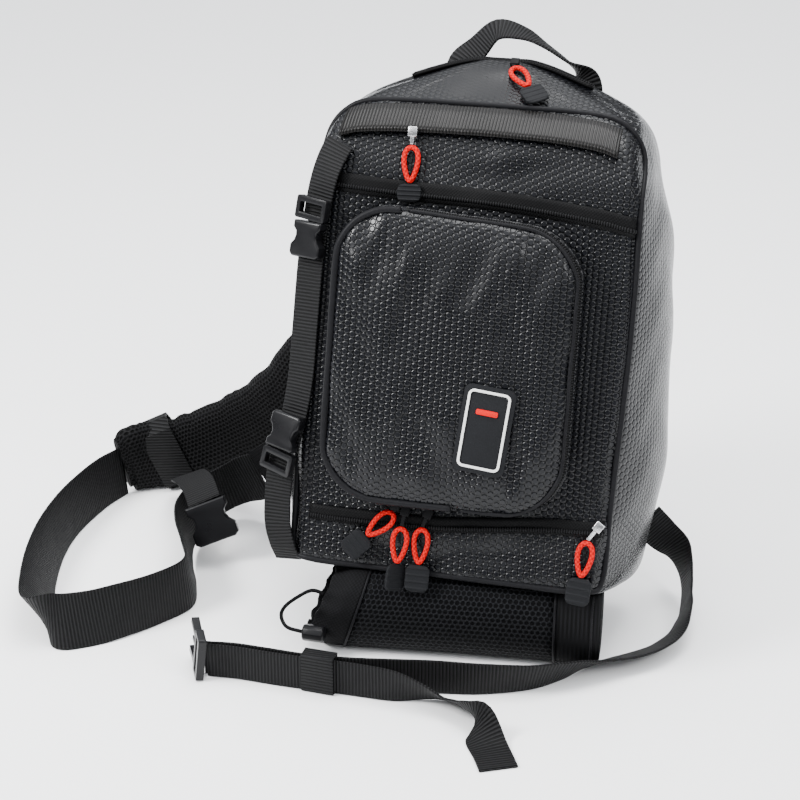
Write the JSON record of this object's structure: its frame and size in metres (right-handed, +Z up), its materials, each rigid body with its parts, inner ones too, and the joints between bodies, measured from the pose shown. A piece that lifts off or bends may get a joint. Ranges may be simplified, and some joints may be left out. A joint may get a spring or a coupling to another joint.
{
  "type": "fishing tackle sling bag",
  "caption": "Fishing tackle sling bag with a front pocket, a netted bottle pocket below, side compression straps with buckles, a padded shoulder sling, a waist strap and a grab handle",
  "frame": {"origin": "on the flat underside of the bottle pocket, which stands on the floor, below the middle of the bag", "axes": "+Z up, the bag's front with its pocket faces -Y and leans back towards +Y, +X to the viewer's right"},
  "size_m": [0.4752, 0.3325, 0.3867],
  "materials": {
    "coated_fabric": "glossy coated fabric with an embossed honeycomb",
    "webbing": "ribbed woven webbing",
    "tape": "woven tape and piping",
    "plain_cloth": "plain matte cloth",
    "mesh": "open mesh",
    "plastic": "satin moulded plastic",
    "rubber": "matte rubber",
    "red_cord": "braided cord",
    "white_print": "matte raised line",
    "metal": "bright metal"
  },
  "bodies": {
    "root": {"body_shell": "coated_fabric", "top_flap": "coated_fabric", "front_pocket": "coated_fabric", "handle": "webbing", "strap_upper": "webbing", "strap_middle": "webbing", "strap_lower": "webbing", "shoulder_webbing": "webbing", "waist_webbing": "webbing", "waist_tail": "webbing", "waist_keeper": "webbing", "pad_band": "webbing", "waist_tab": "webbing", "front_piping": "tape", "top_zip": "tape", "bottom_zip": "tape", "main_zip": "tape", "pocket_piping": "tape", "pocket_zip": "tape", "slider_low_a": "tape", "slider_low_b": "tape", "slider_low_c": "tape", "slider_main": "tape", "bottle_cuff": "plain_cloth", "bottle_end": "plain_cloth", "drawcord": "plain_cloth", "shoulder_wing": "plain_cloth", "bottle_net": "mesh", "shoulder_pad": "mesh", "buckle_upper_socket": "plastic", "buckle_upper_clip": "plastic", "buckle_lower_socket": "plastic", "buckle_lower_clip": "plastic", "cord_lock": "plastic", "waist_clip": "plastic", "waist_socket": "plastic", "label_patch": "rubber", "tag_upper": "rubber", "tag_low_a": "rubber", "tag_low_b": "rubber", "tag_low_c": "rubber", "tag_right": "rubber", "tag_main": "rubber", "loop_upper": "red_cord", "loop_low_a": "red_cord", "loop_low_b": "red_cord", "loop_low_c": "red_cord", "loop_right": "red_cord", "loop_main": "red_cord", "label_bar": "red_cord", "label_frame": "white_print", "slider_upper": "metal", "slider_right": "metal"}
  },
  "joints": []
}
